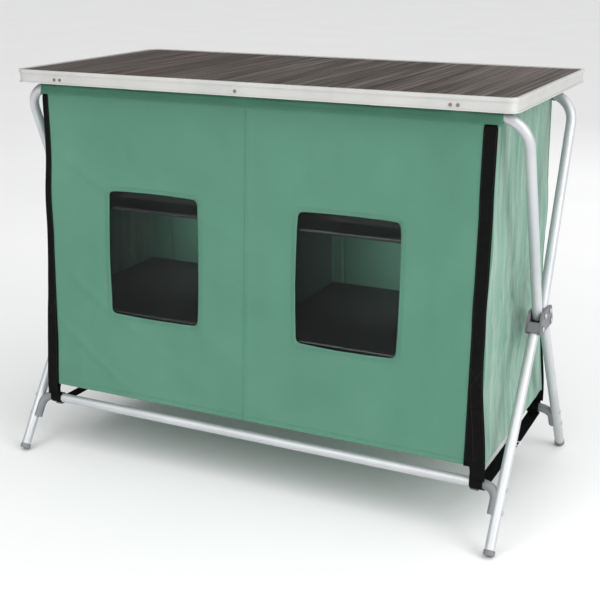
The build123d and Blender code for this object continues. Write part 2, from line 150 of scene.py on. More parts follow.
def grid(us, vs, place, flip=False, hole=None, snap=None):
    """A net of points and its faces. hole(u, v) is true at the middle of a face that is cut out."""
    vertices, uv, faces = [], [], []
    for v in vs:
        for u in us:
            at = snap(u, v) if snap else (u, v)
            vertices.append(place(*at))
            uv.append(at)
    wide = len(us)
    for j in range(len(vs) - 1):
        for i in range(wide - 1):
            if hole and hole((us[i] + us[i + 1]) / 2, (vs[j] + vs[j + 1]) / 2):
                continue
            face = [j * wide + i, j * wide + i + 1, (j + 1) * wide + i + 1, (j + 1) * wide + i]
            faces.append(face[::-1] if flip else face)
    used = sorted({i for face in faces for i in face})
    index = {old: new for new, old in enumerate(used)}
    faces = [[index[i] for i in face] for face in faces]
    return [vertices[i] for i in used], faces, [uv[i] for i in used]


def strip(path, width, thickness):
    """A band of webbing along a path of (middle point, width direction, normal).

    The section has slightly thicker, rounded edges, as woven webbing has."""
    half, low = width / 2, thickness / 2
    section = [
        (-half, -low * 0.55), (-half, low * 0.55), (-half * 0.96, low * 1.08), (-half * 0.84, low),
        (0, low), (half * 0.84, low), (half * 0.96, low * 1.08), (half, low * 0.55),
        (half, -low * 0.55), (half * 0.96, -low * 1.08), (half * 0.84, -low), (0, -low),
        (-half * 0.84, -low), (-half * 0.96, -low * 1.08),
    ]
    vertices, uv, faces = [], [], []
    length, last = 0.0, None
    for point, across, normal in path:
        length += (point - last).length if last is not None else 0.0
        last = point
        for a, b in section:
            vertices.append(point + across * a + normal * b)
            uv.append((a, length))
    n, m = len(section), len(path)
    for j in range(m - 1):
        for i in range(n):
            h = (i + 1) % n
            faces.append([j * n + i, j * n + h, (j + 1) * n + h, (j + 1) * n + i])
    faces.append(list(range(n))[::-1])
    faces.append([(m - 1) * n + i for i in range(n)])
    return vertices, faces, uv


def chip(centre, size, axes=None, bevel=0.25):
    """A block with bevelled edges, for buckles, sliders and teeth."""
    axes = axes or (Vector((1, 0, 0)), Vector((0, 1, 0)), Vector((0, 0, 1)))
    cut = min(size) * bevel
    both = (-1, 1)
    vertices, faces, index = [], [], {}
    for signs in product(both, repeat=3):
        for k in range(3):
            at = [s * d / 2 - (0 if other == k else s * cut)
                  for other, (s, d) in enumerate(zip(signs, size))]
            index[(*signs, k)] = len(vertices)
            vertices.append(centre + axes[0] * at[0] + axes[1] * at[1] + axes[2] * at[2])

    def corner(k, s, p, q, face):
        sign = [0, 0, 0]
        sign[k], sign[(k + 1) % 3], sign[(k + 2) % 3] = s, p, q
        return index[(*sign, face)]

    for k, s in product(range(3), both):
        ring = [corner(k, s, p, q, k) for p, q in ((-1, -1), (1, -1), (1, 1), (-1, 1))]
        faces.append(ring if s > 0 else ring[::-1])
    for k, p, q in product(range(3), both, both):
        a, b = [[corner(k, s, p, q, (k + step) % 3) for step in (1, 2)] for s in both]
        face = [a[0], b[0], b[1], a[1]]
        faces.append(face[::-1] if p * q > 0 else face)
    for signs in product(both, repeat=3):
        face = [index[(*signs, k)] for k in range(3)]
        faces.append(face if signs[0] * signs[1] * signs[2] > 0 else face[::-1])
    return vertices, faces, [(0.0, 0.0)] * len(vertices)


def made_of(name, parts, thickness=None, smoothed=True):
    """One piece from several (vertices, faces, uv), and a thickness for sheets."""
    vertices, faces, uv = [], [], []
    for more_vertices, more_faces, more_uv in parts:
        start = len(vertices)
        vertices += more_vertices
        faces += [[start + i for i in face] for face in more_faces]
        uv += more_uv
    piece = mesh_piece(name, vertices, faces, uv, smoothed)
    if thickness:
        modifier = piece.modifiers.new("thickness", "SOLIDIFY")
        modifier.thickness, modifier.offset = thickness, -1.0
        modifier.use_even_offset = False
    return piece


def stitching(name, runs, radius=0.00034, long=0.0027, pitch=0.0040):
    """Threads in the surface along several runs of (point, normal)."""
    vertices, faces = [], []
    for run in runs:
        travelled = 0.0
        for (a, normal), (b, _) in zip(run, run[1:]):
            span = (b - a).length
            along = (b - a) / max(span, 1e-9)
            across = normal.cross(along).normalized()
            while travelled <= span:
                centre = a + along * travelled + normal * radius * 0.5
                start = len(vertices)
                for share, size in ((-0.5, 0.35), (-0.3, 1.0), (0.3, 1.0), (0.5, 0.35)):
                    drop = normal * radius * (-0.8 if abs(share) == 0.5 else 0)
                    for p, q in ((1, 0), (0, 1), (-1, 0), (0, -1)):
                        vertices.append(centre + along * long * share + drop
                                        + (across * p + normal * q) * radius * size)
                for r in range(3):
                    for i in range(4):
                        j, base = (i + 1) % 4, start + 4 * r
                        faces.append([base + 4 + i, base + 4 + j, base + j, base + i][::-1])
                faces.append([start + 3 - i for i in range(4)])
                faces.append([start + 12 + i for i in range(4)])
                travelled += pitch
            travelled -= span
    return mesh_piece(name, vertices, faces)


# ---- materials ----
class Look:
    """A node material, built one node at a time."""

    def __init__(self, name, roughness, metallic=0.0, **sockets):
        self.material = bpy.data.materials.new(name)
        self.material.use_nodes = True
        self.nodes, self.links = self.material.node_tree.nodes, self.material.node_tree.links
        self.shader = self.nodes["Principled BSDF"]
        sockets.update(Roughness=roughness, Metallic=metallic)
        for key, value in sockets.items():
            self.shader.inputs[key.replace("_", " ")].default_value = value
        coordinates = self.nodes.new("ShaderNodeTexCoord")
        self.place, self.cut = coordinates.outputs["Object"], coordinates.outputs["UV"]
        self.under = {}

    def put(self, value, socket):
        if isinstance(value, bpy.types.NodeSocket):
            self.links.new(value, socket)
        else:
            socket.default_value = value

    def node(self, kind, inputs, output=0, **settings):
        """Adds a node. Its inputs are values, or sockets to link."""
        node = self.nodes.new("ShaderNode" + kind)
        for key, value in settings.items():
            setattr(node, key, value)
        for key, value in inputs.items():
            self.put(value, node.inputs[key])
        return node.outputs[output]

    def scaled(self, vector, scale):
        return self.node("Mapping", {"Vector": vector, "Scale": scale})

    def noise(self, vector, scale, detail=3.0, rough=0.5, distortion=0.0):
        return self.node("TexNoise", {"Vector": vector, "Scale": scale, "Detail": detail,
                                      "Roughness": rough, "Distortion": distortion}, "Fac")

    def bands(self, vector, scale, direction="X", distortion=0.0):
        inputs = {"Vector": vector, "Scale": scale, "Distortion": distortion}
        return self.node("TexWave", inputs, "Fac", bands_direction=direction)

    def ramp(self, value, *stops):
        node = self.nodes.new("ShaderNodeValToRGB")
        elements = node.color_ramp.elements
        while len(elements) > 1:
            elements.remove(elements[-1])
        elements[0].position, elements[0].color = stops[0][0], (*stops[0][1], 1)
        for position, colour in stops[1:]:
            elements.new(position).color = (*colour, 1)
        self.links.new(value, node.inputs["Fac"])
        return node.outputs["Color"]

    def math(self, operation, a, b):
        return self.node("Math", {0: a, 1: b}, operation=operation)

    def blend(self, share, a, b):
        a, b = [(*value, 1) if isinstance(value, tuple) else value for value in (a, b)]
        return self.node("Mix", {0: share, 6: a, 7: b}, 2, data_type="RGBA")

    def span(self, value, low, high):
        return self.node("MapRange", {"Value": value, "To Min": low, "To Max": high})

    def colour(self, value):
        self.put(value, self.shader.inputs["Base Color"])

    def roughness(self, value):
        self.put(value, self.shader.inputs["Roughness"])

    def bump(self, height, strength, distance):
        """Bumps the surface, on top of any bump it has already."""
        inputs = {"Strength": strength, "Distance": distance, "Height": height, **self.under}
        self.under = {"Normal": self.node("Bump", inputs)}
        self.put(self.under["Normal"], self.shader.inputs["Normal"])


def fabric_look(name, base, dark, light, sheen=0.20, rough=0.74, painted_sheen_streaks=0.0):
    """Coated polyester weave: fine crossed threads, faint slubs, and soft variation in tone.

    Streaks paint paler upright lines on cloth pulled down the wall: painted sheen, not the cloth's
    own colour."""
    look = Look(name, rough, Sheen_Weight=sheen, Sheen_Roughness=0.45,
                Sheen_Tint=(0.75, 0.95, 0.88, 1), Specular_IOR_Level=0.35)
    warp = look.bands(look.cut, 170.0, "X", 0.6)
    weft = look.bands(look.cut, 170.0, "Y", 0.6)
    weave = look.math("ADD", warp, weft)
    slub = look.noise(look.scaled(look.place, (260.0, 260.0, 14.0)), 1.0, 2.0)
    cross = look.noise(look.scaled(look.place, (12.0, 12.0, 320.0)), 1.0, 2.0)
    soft = look.noise(look.place, 7.0, 4.0, 0.55)
    tone = look.ramp(soft, (0.25, dark), (0.5, base), (0.78, light))
    tone = look.blend(look.span(slub, 0.0, 0.22), tone, light)
    tone = look.blend(look.span(cross, 0.0, 0.16), tone, dark)
    if painted_sheen_streaks:
        # painted sheen: pale upright streaks mixed into the cloth's base colour
        pulled = look.noise(look.scaled(look.place, (60.0, 75.0, 5.0)), 1.0, 4.0, 0.6)
        painted_sheen_mask = look.ramp(pulled, (0.44, (0.0, 0.0, 0.0)), (0.66, (painted_sheen_streaks, painted_sheen_streaks, painted_sheen_streaks)))
        tone = look.blend(painted_sheen_mask, tone, (0.32, 0.42, 0.36))
    look.colour(tone)
    look.roughness(look.span(soft, rough - 0.08, rough + 0.1))
    crumple = look.noise(look.place, 38.0, 3.0, 0.6, 0.4)
    look.bump(crumple, 0.35, 0.0012)
    look.bump(weave, 0.22, 0.00025)
    return look.material


def webbing_look():
    """Black polypropylene webbing with ribs across it and a smoother selvedge."""
    look = Look("webbing", 0.80, Specular_IOR_Level=0.04)
    ribs = look.bands(look.cut, 130.0, "Y", 0.3)
    lines = look.bands(look.cut, 95.0, "X", 0.4)
    worn = look.noise(look.place, 60.0, 4.0, 0.6)
    tone = look.ramp(worn, (0.3, (0.0035, 0.0035, 0.0038)), (0.75, (0.0070, 0.0070, 0.0073)))
    tone = look.blend(look.span(ribs, 0.0, 0.3), tone, (0.010, 0.010, 0.0104))
    look.colour(tone)
    look.roughness(look.span(worn, 0.52, 0.76))
    look.bump(ribs, 0.6, 0.0006)
    look.bump(lines, 0.25, 0.0003)
    return look.material


def tube_look(name, tint, metallic, rough):
    """Satin aluminium: drawn along its length, with faint handling marks."""
    look = Look(name, rough, metallic)
    draw = look.noise(look.scaled(look.place, (8.0, 900.0, 900.0)), 1.0, 3.0)
    marks = look.noise(look.place, 95.0, 6.0, 0.68, 0.6)
    cloud = look.noise(look.place, 9.0, 3.0)
    low = tuple(c * 0.86 for c in tint)
    tone = look.ramp(cloud, (0.3, low), (0.7, tint))
    tone = look.blend(look.ramp(marks, (0.66, (0, 0, 0)), (0.78, (0.5, 0.5, 0.5))), tone, low)
    look.colour(tone)
    look.roughness(look.span(marks, rough - 0.07, rough + 0.14))
    look.bump(draw, 0.06, 0.0002)
    look.bump(marks, 0.10, 0.0003)
    return look.material


def plastic_look(name, base, rough=0.48, grain=900.0, strength=0.25):
    """Moulded nylon with a fine spark-eroded grain and slightly shinier worn places."""
    look = Look(name, rough)
    fine = look.noise(look.place, grain, 3.0, 0.6)
    cloud = look.noise(look.place, 28.0, 4.0, 0.6)
    dark, light = tuple(c * 0.86 for c in base), tuple(min(1.0, c * 1.12) for c in base)
    look.colour(look.ramp(cloud, (0.3, dark), (0.52, base), (0.75, light)))
    look.roughness(look.span(cloud, rough - 0.1, rough + 0.14))
    look.bump(cloud, 0.08, 0.0008)
    look.bump(fine, strength, 0.00022)
    return look.material


def steel_look():
    """Zinc-plated steel with a faint cloudy grain."""
    look = Look("zinc_steel", 0.32, 1.0)
    cloud = look.noise(look.place, 240.0, 4.0, 0.65)
    look.colour(look.ramp(cloud, (0.3, (0.44, 0.44, 0.45)), (0.7, (0.66, 0.66, 0.68))))
    look.roughness(look.span(cloud, 0.22, 0.46))
    look.bump(cloud, 0.12, 0.0002)
    return look.material


def laminate_look():
    """Striped dark wood laminate. The stripes run from front to back, in uneven widths."""
    look = Look("laminate", 0.55, Specular_IOR_Level=0.22)
    drift = look.noise(look.scaled(look.place, (30.0, 0.6, 1.0)), 1.0, 2.0)
    bend = look.noise(look.scaled(look.place, (3.0, 2.2, 1.0)), 1.0, 2.0)
    along = look.scaled(look.place, (1.0, 0.010, 1.0))
    shift = look.scaled(look.math("ADD", drift, bend), (0.010, 0.0, 0.0))
    lines = look.node("VectorMath", {0: along, 1: shift}, operation="ADD")
    pitch = look.bands(lines, 36.0, "X")
    broad = look.noise(lines, 40.0, 2.0, 0.5)
    narrow = look.noise(lines, 170.0, 3.0, 0.62)
    hair = look.noise(lines, 640.0, 2.0, 0.6)
    tone = look.ramp(
        look.math("ADD", look.math("MULTIPLY", pitch, 0.40), look.math("MULTIPLY", broad, 0.60)),
        (0.30, (0.016, 0.010, 0.008)), (0.42, (0.042, 0.032, 0.027)),
        (0.56, (0.090, 0.076, 0.068)), (0.68, (0.195, 0.172, 0.156)),
    )
    streak = look.ramp(
        narrow, (0.40, (0.010, 0.006, 0.005)), (0.47, (0.046, 0.036, 0.031)),
        (0.54, (0.110, 0.094, 0.084)), (0.61, (0.250, 0.222, 0.202)),
    )
    tone = look.blend(0.50, tone, streak)
    tone = look.blend(look.span(hair, 0.0, 0.30), tone, (0.024, 0.017, 0.014))
    look.colour(tone)
    pores = look.noise(look.scaled(look.place, (700.0, 60.0, 1.0)), 1.0, 2.0)
    smear = look.noise(look.place, 5.0, 4.0, 0.6)
    look.roughness(look.span(smear, 0.46, 0.62))
    look.bump(narrow, 0.10, 0.0004)
    look.bump(pores, 0.12, 0.0002)
    return look.material


def window_look():
    """Smoked see-through film, slightly wavy."""
    look = Look("window_film", 0.12, IOR=1.40, Specular_IOR_Level=0.16)
    cloud = look.noise(look.place, 9.0, 2.0)
    look.colour(look.ramp(cloud, (0.3, (0.006, 0.007, 0.007)), (0.7, (0.012, 0.013, 0.013))))
    look.roughness(look.span(cloud, 0.08, 0.18))
    look.bump(cloud, 0.15, 0.002)
    look.put(look.span(cloud, 0.46, 0.54), look.shader.inputs["Alpha"])
    return look.material


def lining_look():
    """The grey-black coated cloth of the shelves."""
    look = Look("shelf_cloth", 0.7)
    soft = look.noise(look.place, 16.0, 4.0, 0.6)
    threads = look.noise(look.place, 700.0, 2.0)
    look.colour(look.ramp(soft, (0.3, (0.020, 0.024, 0.023)), (0.7, (0.040, 0.047, 0.044))))
    look.roughness(look.span(soft, 0.58, 0.8))
    look.bump(soft, 0.3, 0.0015)
    look.bump(threads, 0.1, 0.0003)
    return look.material


GREEN = fabric_look(
    "green_cloth", (0.080, 0.222, 0.155), (0.070, 0.202, 0.140), (0.096, 0.246, 0.174)
)
# A paler copy of the green cloth for the end walls: painted sheen and light in its base colour, with
# painted sheen streaks.
PAINTED_SHEEN_GREEN = fabric_look(
    "green_cloth_side_painted_sheen", (0.140, 0.268, 0.205), (0.098, 0.222, 0.163), (0.186, 0.318, 0.254),
    sheen=0.35, painted_sheen_streaks=0.60,
)
GREEN_BAND = fabric_look(
    "green_cloth_band", (0.066, 0.214, 0.142), (0.056, 0.190, 0.124), (0.082, 0.240, 0.163)
)
# A darker copy of the green cloth for the middle wall: painted shade of the cupboard's shadowed
# inside.
PAINTED_SHADE_GREEN = fabric_look(
    "green_cloth_inside_painted_shade", (0.050, 0.140, 0.098), (0.040, 0.118, 0.082), (0.062, 0.160, 0.114)
)
DARK_NYLON = plastic_look("zip_nylon", (0.018, 0.018, 0.019), 0.4)
WEBBING = webbing_look()
ALUMINIUM = tube_look("satin_aluminium", (0.60, 0.62, 0.635), 0.50, 0.46)
EDGE = tube_look("edge_aluminium", (0.60, 0.605, 0.585), 0.30, 0.45)
HUB = plastic_look("hub_nylon", (0.158, 0.160, 0.166))
ELBOW = plastic_look("elbow_nylon", (0.195, 0.201, 0.212))
FOOT = plastic_look("foot_nylon", (0.185, 0.190, 0.200), 0.55)
CLIP = plastic_look("clip_nylon", (0.46, 0.47, 0.46), 0.5)
PALE = plastic_look("pale_plastic", (0.70, 0.71, 0.71), 0.35, 500.0, 0.12)
STEEL = steel_look()
ROD = tube_look("bright_rod", (0.56, 0.62, 0.62), 1.0, 0.17)
RIVET = tube_look("dull_rivet", (0.26, 0.215, 0.185), 0.5, 0.45)
LAMINATE = laminate_look()
FILM = window_look()
LINING = lining_look()
THREAD_GREEN = plastic_look("green_thread", (0.070, 0.215, 0.148), 0.6, 1500.0)
THREAD_BLACK = plastic_look("black_thread", (0.013, 0.013, 0.0135), 0.6, 1500.0)


def paint(piece, material):
    """Gives a piece, or a CAD node by its name, one material."""
    target = frame["nodes"][piece] if isinstance(piece, str) else piece
    target.data.materials.clear()
    target.data.materials.append(material)


for node, material in (
    ("hub_left", HUB), ("hub_right", HUB), ("hub_pins", STEEL), ("top_panel", LAMINATE),
    ("edge_frame", EDGE), ("edge_rivets", RIVET), ("top_braces", ALUMINIUM),
    ("rear_pivot_clips", CLIP), ("front_rest_clips", CLIP), ("shelf_rods", ROD),
    ("front_bow", ALUMINIUM), ("back_bow", ALUMINIUM), ("front_stretcher", ALUMINIUM),
    ("back_stretcher", ALUMINIUM), ("front_elbow_rivets", STEEL), ("back_elbow_rivets", STEEL),
    ("front_loop_clips", FOOT), ("back_loop_clips", FOOT),
):
    paint(node, material)
for side in SIDES:
    for end in ENDS:
        paint(f"{side}_leg_{end}", ALUMINIUM)
        paint(f"{side}_elbow_{end}", ELBOW)
        paint(f"{side}_foot_{end}", FOOT)


def finish_piece(piece, material, body, slot, *nodes):
    """Paints a piece, sets its body, and hides the CAD nodes it stands for. Its slot, the finish, is
    not used.
    """
    paint(piece, material)
    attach(piece, body)
    if nodes:
        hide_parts(*nodes)


# ---- the shape of the hung cloth ----
# The corners' distance from the middle, at heights from the lower hem up.
EDGE_RIGHT = ((0.142, 0.4800), (0.20, 0.4735), (0.30, 0.4665), (0.45, 0.4655), (0.749, 0.4655))
EDGE_LEFT = ((0.142, 0.4800), (0.30, 0.4745), (0.431, 0.4690), (0.64, 0.4635), (0.749, 0.4675))


def through(stops, z):
    """Straight runs through (z, value) stops."""
    if z <= stops[0][0]:
        return stops[0][1]
    for (z0, a), (z1, b) in zip(stops, stops[1:]):
        if z <= z1:
            return a + (b - a) * (z - z0) / (z1 - z0)
    return stops[-1][1]


def edge_x(end, z):
    """How far out the cupboard's corner hangs, where the straps pull it at top and bottom."""
    stops = EDGE_RIGHT if end > 0 else EDGE_LEFT
    hung = sum(through(stops, z + step) for step in (-0.03, -0.01, 0.01, 0.03)) / 4
    pushed = max(bell(z - level, 0.055) for level in SHELVES_Z.values())
    return hung + pushed * max(0.0, ROD_REACH + 0.0012 - hung)


def stretched_x(u, z, fixed, middle_z):
    """Moves the cloth beyond a fixed X so that it reaches the corner at every height."""
    end = 1 if u > 0 else -1
    if abs(u) < fixed:
        return u
    share = (abs(u) - fixed) / (edge_x(end, middle_z) - fixed)
    return end * (fixed + share * (edge_x(end, z) - fixed))


def wall_swell(side, x, z):
    """How far the cloth of a wall stands out from its flat plane."""
    seed = 1 if side < 0 else 5
    end = 1 if x > 0 else -1
    inside = smooth((SEAM_Z - z) / 0.05) * smooth((z - BOTTOM_Z) / 0.04 + 0.15)
    inside *= smooth((edge_x(end, z) - abs(x) - 0.010) / 0.07)
    if side > 0:
        inside *= 0.2          # the doors' zips keep the back wall flat
    long_folds = 0.0034 * wave(x / 0.10, z / 0.85, seed)
    short_folds = 0.0014 * wave(x / 0.034, z / 0.34, seed + 1)
    slant = x * 0.5 * end + (SEAM_Z - z) * 0.8
    creases = 0.0030 * ridge(slant / 0.10, (x * end - z * 0.4) / 0.33, seed + 2) ** 4
    creases *= 0.35 + 0.65 * bell(abs(x) - 0.40, 0.16)
    pucker = 0.00055 * bell(z - SEAM_Z, 0.016) * wave(x / 0.008, z / 0.03, seed + 3)
    hem = 0.0006 * bell(z - BOTTOM_Z, 0.012) * wave(x / 0.015, 0.7, seed + 4)
    return inside * (long_folds + short_folds + creases) + pucker + hem


def stitch(side, x, z, lift):
    """A point a little above a wall's cloth, and the direction out of it."""
    return on_wall(side, x, z, WALL_OUT + lift + wall_swell(side, x, z)), wall_normal(side)


# Runs of stitches by side, each a list of (point, normal).
green_runs = {-1: [], 1: []}
black_runs = {-1: [], 1: []}


# ---- front wall ----
SEAM_X = -0.005
FELL = 0.004               # half the width of the felled seam down the middle
STILL_X = 0.33             # inside this the cloth keeps its X as its corner is pulled


def window_outline(end, grow, count=28):
    """The window's edge as (x, z) points, with rounded corners and slightly bowed sides."""
    half_w, half_h = WINDOW_SIZE[0] / 2 + grow, WINDOW_SIZE[1] / 2 + grow
    radius, bow_out = 0.009 + grow * 0.5, 0.003
    corners = ((1, -1), (1, 1), (-1, 1), (-1, -1))
    points = []
    for corner in range(4):
        (sx, sz), (nx, nz) = corners[corner], corners[(corner + 1) % 4]
        for i in range(7):
            angle = radians(-90 + 90 * corner + 90 * i / 6)
            points.append((sx * (half_w - radius) + radius * cos(angle),
                           sz * (half_h - radius) + radius * sin(angle)))
        a, angle = points[-1], radians(90 * corner)
        b = (nx * (half_w - radius) + radius * cos(angle),
             nz * (half_h - radius) + radius * sin(angle))
        points += [(a[0] + (b[0] - a[0]) * i / count, a[1] + (b[1] - a[1]) * i / count)
                   for i in range(1, count)]
    bowed = []
    for x, z in points:
        if abs(x) > abs(z) * half_w / half_h:
            x += bow_out * (1 if x > 0 else -1) * (1 - (z / half_h) ** 2)
        else:
            z += bow_out * (1 if z > 0 else -1) * (1 - (x / half_w) ** 2)
        bowed.append((WINDOW_X[end] + x, WINDOW_Z + z))
    return bowed


def nearest(outline, x, z):
    best, place = 1e9, (x, z)
    for (ax, az), (bx, bz) in zip(outline, outline[1:] + outline[:1]):
        dx, dz = bx - ax, bz - az
        share = max(0.0, min(1.0, ((x - ax) * dx + (z - az) * dz) / max(dx * dx + dz * dz, 1e-12)))
        px, pz = ax + dx * share, az + dz * share
        gap = (px - x) ** 2 + (pz - z) ** 2
        if gap < best:
            best, place = gap, (px, pz)
    return place


def front_panel(end):
    """Half of the front wall, with the cloth turned back round its window."""
    outline = window_outline(end, 0.0)
    cx, half_w, half_h = WINDOW_X[end], WINDOW_SIZE[0] / 2, WINDOW_SIZE[1] / 2
    outer = ENDS[end] * edge_x(ENDS[end], WINDOW_Z)
    low, high = (outer, SEAM_X + FELL) if end == "left" else (SEAM_X - FELL, outer)

    def place(u, z):
        x = stretched_x(u, z, STILL_X, WINDOW_Z)
        out = WALL_OUT + wall_swell(-1, x, z)
        if end == "right":
            out += 0.0006 * bell(max(0.0, x - SEAM_X - FELL), 0.003)
        from_edge = max(abs(x - cx) - half_w, abs(z - WINDOW_Z) - half_h)
        out += 0.0007 * bell(from_edge - 0.0045, 0.0035)
        if from_edge < 0.002:
            out -= 0.0004
        return on_wall(-1, x, z, out)

    rims = [(s, rim) for rim in (0.0, 0.004, 0.009) for s in (-1, 1)]
    us = spread(low, high, 0.006, *(cx + s * half_w + s * rim for s, rim in rims),
                SEAM_X - FELL + 0.001, SEAM_X + FELL - 0.001, SEAM_X + FELL + 0.002)
    vs = spread(BOTTOM_Z, SEAM_Z + 0.007, 0.007,
                *(WINDOW_Z + s * half_h + s * rim for s, rim in rims),
                BOTTOM_Z + 0.002, SEAM_Z - 0.003)

    def hole(u, z):
        return abs(u - cx) < half_w and abs(z - WINDOW_Z) < half_h

    def snap(u, z):
        on_x = abs(abs(u - cx) - half_w) < 1e-6 and abs(z - WINDOW_Z) < half_h + 1e-6
        on_z = abs(abs(z - WINDOW_Z) - half_h) < 1e-6 and abs(u - cx) < half_w + 1e-6
        return nearest(outline, u, z) if on_x or on_z else (u, z)

    piece = made_of(f"front_cloth_{end}", [grid(us, vs, place, hole=hole, snap=snap)], CLOTH)
    finish_piece(piece, GREEN, "front_wall", "green_fabric", f"front_panel_{end}")
    for grow in (0.0030, 0.0072):
        run = window_outline(end, grow)
        green_runs[-1].append([stitch(-1, x, z, 0.0006) for x, z in run + run[:1]])


def window_pane(end):
    """The smoked film sewn behind the opening. It hangs in slight waves."""
    cx = WINDOW_X[end]
    half_w, half_h = WINDOW_SIZE[0] / 2 + 0.008, WINDOW_SIZE[1] / 2 + 0.008

    def place(x, z):
        slack = smooth(min(half_w - abs(x - cx), half_h - abs(z - WINDOW_Z)) / 0.04)
        out = WALL_OUT - CLOTH - 0.0006 + wall_swell(-1, x, z)
        out += slack * (0.0010 * wave(x / 0.09, z / 0.13, 9) - 0.0008)
        return on_wall(-1, x, z, out)

    us = spread(cx - half_w, cx + half_w, 0.008)
    vs = spread(WINDOW_Z - half_h, WINDOW_Z + half_h, 0.008)
    piece = made_of(f"film_{end}", [grid(us, vs, place)], 0.0004)
    finish_piece(piece, FILM, "front_wall", "window_film", f"window_{end}")


for end_name in ENDS:
    front_panel(end_name)
    window_pane(end_name)
for offset in (-0.0026, 0.0026):
    green_runs[-1].append([
        (on_wall(-1, SEAM_X + offset, z, WALL_OUT + 0.0006 + wall_swell(-1, SEAM_X, z)),
         wall_normal(-1)) for z in spread(BOTTOM_Z + 0.004, SEAM_Z - 0.004, 0.02)
    ])
for side in SIDES.values():
    for z, reach in ((SEAM_Z + HEM_LIFT - 0.0020, 0.462), (BOTTOM_Z + 0.010, 0.438)):
        lift = 0.0017 if z > WINDOW_Z else 0.0002
        green_runs[side].append([stitch(side, x, z, lift) for x in spread(-reach, reach, 0.012)])


# ---- sleeves round the bars ----
SLEEVE_END = 0.472
BOW_BEND, BEND_START = 0.055, 0.457
bow_angle = frame["record"]["behaviour"]["joints"][0]["range_deg"][1]


def sleeve(side_name):
    """The pocket that the bow's bar runs in: up from the seam, over the bar and down to the seam."""
    side = SIDES[side_name]
    clip_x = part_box("front_rest_clips" if side < 0 else "rear_pivot_clips")[1].x - 0.012
    open_half = 0.018
    radius = WALL_OUT - 0.0002
    hem = SEAM_Z - BAR_Z + HEM_LIFT
    profile = [(WALL_OUT + 0.0008, hem - 0.0045), (WALL_OUT + 0.0013, hem - 0.0030),
               (WALL_OUT + 0.0011, hem + 0.0006), (WALL_OUT + 0.0003, hem + 0.0030),
               (radius, hem + 0.0058)]
    for i in range(0, 17):
        angle = radians(-14 + (186 + 20) * i / 16)
        profile.append((radius * cos(angle), radius * sin(angle)))
    profile += [(-radius * 0.80, -0.0065), (-0.0045, -0.0090), (0.0025, hem + 0.0025),
                (WALL_OUT - 0.0014, hem - 0.0020), (WALL_OUT - 0.0012, hem - 0.0045)]
    lengths = [0.0]
    for a, b in zip(profile, profile[1:]):
        lengths.append(lengths[-1] + sqrt((a[0] - b[0]) ** 2 + (a[1] - b[1]) ** 2))
    seed = 11 if side < 0 else 13

    def place(x, s):
        i = max(k for k in range(len(lengths)) if lengths[k] <= s + 1e-9)
        out, down = profile[i]
        loose = smooth(i / 4) if i < 22 else 0.4
        swell = 0.0009 * abs(wave(x / 0.020, s / 0.05, seed))
        swell += 0.0006 * wave(x / 0.08, s / 0.03, seed + 1)
        gather = bell(max(0.0, SLEEVE_END - abs(x)), 0.016)
        swell += 0.0016 * gather * wave(x / 0.02, s / 0.0055, seed + 2)
        reach = sqrt(out * out + down * down)
        swell = max(-0.0003, swell) * loose
        out, down = out * (1 + swell / reach), down * (1 + swell / reach)
        beyond = max(0.0, abs(x) - BEND_START)
        drop = BOW_BEND - sqrt(BOW_BEND ** 2 - beyond ** 2)
        point = on_wall(side, x, BAR_Z, 0) + wall_normal(side) * out
        point += wall_up(side) * down
        point += Vector((0, -side * sin(radians(bow_angle)), -cos(radians(bow_angle)))) * drop
        return point

    us = spread(-SLEEVE_END, SLEEVE_END, 0.005, -clip_x - open_half, -clip_x + open_half,
                clip_x - open_half, clip_x + open_half)
    first = 8 if side < 0 else 3
    top_from, top_to = lengths[first] - 1e-6, lengths[-6 if side < 0 else -4] + 1e-6

    def hole(x, s):
        return abs(abs(x) - clip_x) < open_half and top_from < s < top_to

    piece = made_of(f"{side_name}_sleeve_cloth",
                    [grid(us, lengths, place, flip=side > 0, hole=hole)], 0.0008)
    finish_piece(piece, GREEN_BAND, f"{side_name}_wall", "green_fabric", f"{side_name}_sleeve")


for side_name in SIDES:
    sleeve(side_name)


# ---- corner straps ----
STRAP_EDGE = 0.4665        # the straps' outer edges lie no further out than this
OVER_TOP = 0.335           # where the loop strap is sewn over the corner strap
# The turned strap's visible width, at heights from the lower hem up.
NARROW = ((0.142, 0.0250), (0.24, 0.0250), (0.431, 0.0165), (0.64, 0.0130), (0.749, 0.0130))


